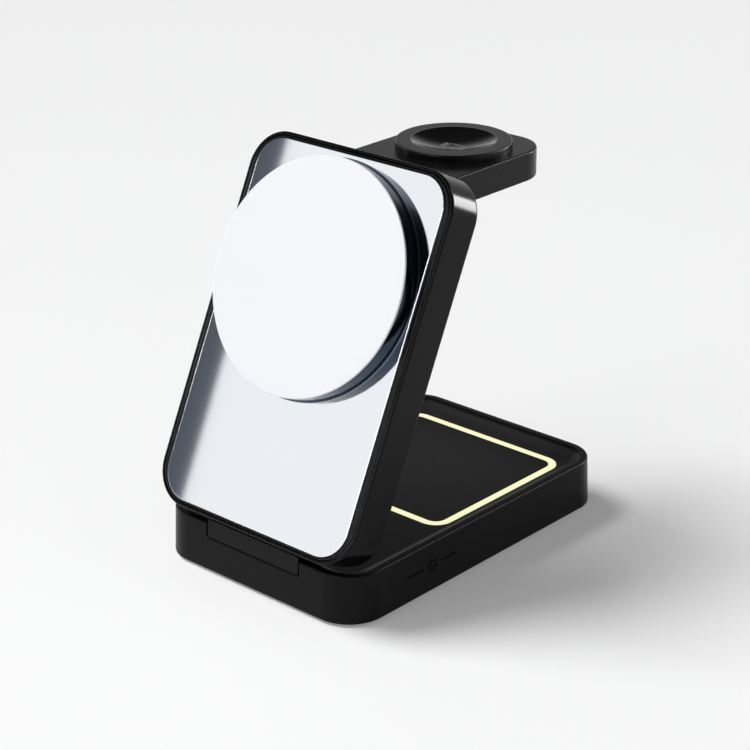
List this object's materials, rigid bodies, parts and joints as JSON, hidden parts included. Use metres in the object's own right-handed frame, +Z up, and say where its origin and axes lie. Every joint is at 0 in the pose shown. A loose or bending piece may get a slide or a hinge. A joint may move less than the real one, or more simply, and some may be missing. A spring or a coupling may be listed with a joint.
{
  "type": "folding charging stand",
  "caption": "Folding stand that charges a phone on a leaning panel's raised disc, a watch on a level arm and an earbud case on a lit tray.",
  "frame": {"origin": "on the table, under the middle of the stand's bounding box", "axes": "+X to the right seen from the front, +Y to the back, +Z up"},
  "size_m": [0.0662, 0.0998, 0.1028],
  "materials": {
    "base_black": "satin black",
    "panel_black": "smooth black",
    "bezel_black": "smooth black",
    "bracket_black": "satin black",
    "arm_black": "satin black",
    "pad_black": "satin black",
    "face_silver": "gloss pale blue-grey",
    "disc_face": "gloss pale grey",
    "disc_wall": "gloss dark navy",
    "disc_trim": "gloss blue-grey",
    "light_guide": "frosted warm white",
    "lamp": "clear lens",
    "puck_ring": "satin black",
    "puck_dish": "gloss black",
    "foot_rubber": "matt light grey",
    "steel": "plain",
    "coil_wire": "enamelled wire",
    "ferrite": "matt sheet",
    "magnet": "plated",
    "circuit_board": "coated board",
    "chip": "moulded"
  },
  "bodies": {
    "base": {"base_shell": "base_black", "base_cover": "base_black", "rubber_feet": "foot_rubber", "cover_screws": "steel", "light_guide": "light_guide", "lamps": "lamp", "lamp_board": "circuit_board", "earbud_pad": "pad_black", "earbud_coil": "coil_wire", "earbud_ferrite": "ferrite", "main_board": "circuit_board", "board_parts": "chip", "inlet_shell": "steel", "inlet_tongue": "chip", "touch_sensor": "circuit_board", "hinge_bracket": "bracket_black", "bracket_screws": "steel", "hinge_pin": "steel"},
    "panel": {"panel_shell": "panel_black", "panel_bezel": "bezel_black", "face_plate": "face_silver", "panel_board": "circuit_board", "disc_trim": "disc_trim", "disc_housing": "disc_wall", "disc_face": "disc_face", "magnet_ring": "magnet", "phone_ferrite": "ferrite", "phone_coil": "coil_wire", "friction_sleeves": "steel"},
    "arm": {"arm_shell": "arm_black", "arm_cover": "arm_black", "arm_screws": "steel", "arm_pins": "steel", "puck_ring": "puck_ring", "puck_dish": "puck_dish", "watch_coil": "coil_wire", "watch_ferrite": "ferrite", "watch_magnet": "magnet"}
  },
  "joints": [
    {"name": "panel_hinge", "type": "hinge", "parent": "base", "child": "panel", "pos_m": [0, -0.04305, 0.019], "axis": [-1, 0, 0], "range_deg": [0, 64.6]},
    {"name": "arm_hinge", "type": "hinge", "parent": "panel", "child": "arm", "pos_m": [0, -0.00672, 0.09191], "axis": [1, 0, 0], "range_deg": [0, 64.6]}
  ],
  "couplings": [
    {"joint": "arm_hinge", "follows": "panel_hinge", "ratio": 1}
  ]
}
